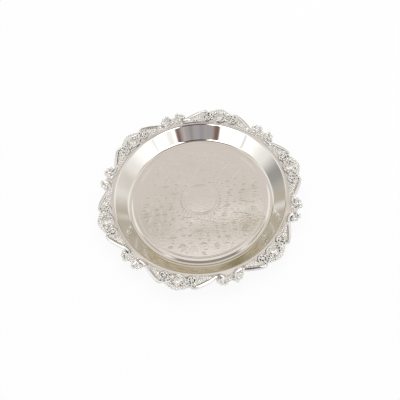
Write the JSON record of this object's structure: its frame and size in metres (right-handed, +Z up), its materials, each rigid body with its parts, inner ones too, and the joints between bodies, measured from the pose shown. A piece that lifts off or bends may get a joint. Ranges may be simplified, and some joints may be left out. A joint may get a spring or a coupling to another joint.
{
  "type": "coin tray",
  "caption": "Round silver-plated coin tray with a shallow sloping well, a flat floor and a cast border of scrolls, leaves and shells.",
  "frame": {"origin": "middle of the face that the foot ring stands on", "axes": "+Z up out of the well, +X through one of the six crests of the border, +Y between two crests"},
  "size_m": [0.199, 0.1932, 0.0154],
  "materials": {
    "dish_plate": "polished silver plate on spun sheet metal, with fine wiping marks and a faint warm tarnish",
    "border_plate": "silver plate on castings, bright on the raised ornament and darker in the recesses"
  },
  "bodies": {
    "root": {"dish": "dish_plate", "border_section_1": "border_plate", "border_section_2": "border_plate", "border_section_3": "border_plate", "border_section_4": "border_plate", "border_section_5": "border_plate", "border_section_6": "border_plate", "seam_bud_1": "border_plate", "seam_bud_2": "border_plate", "seam_bud_3": "border_plate", "seam_bud_4": "border_plate", "seam_bud_5": "border_plate", "seam_bud_6": "border_plate"}
  },
  "joints": []
}
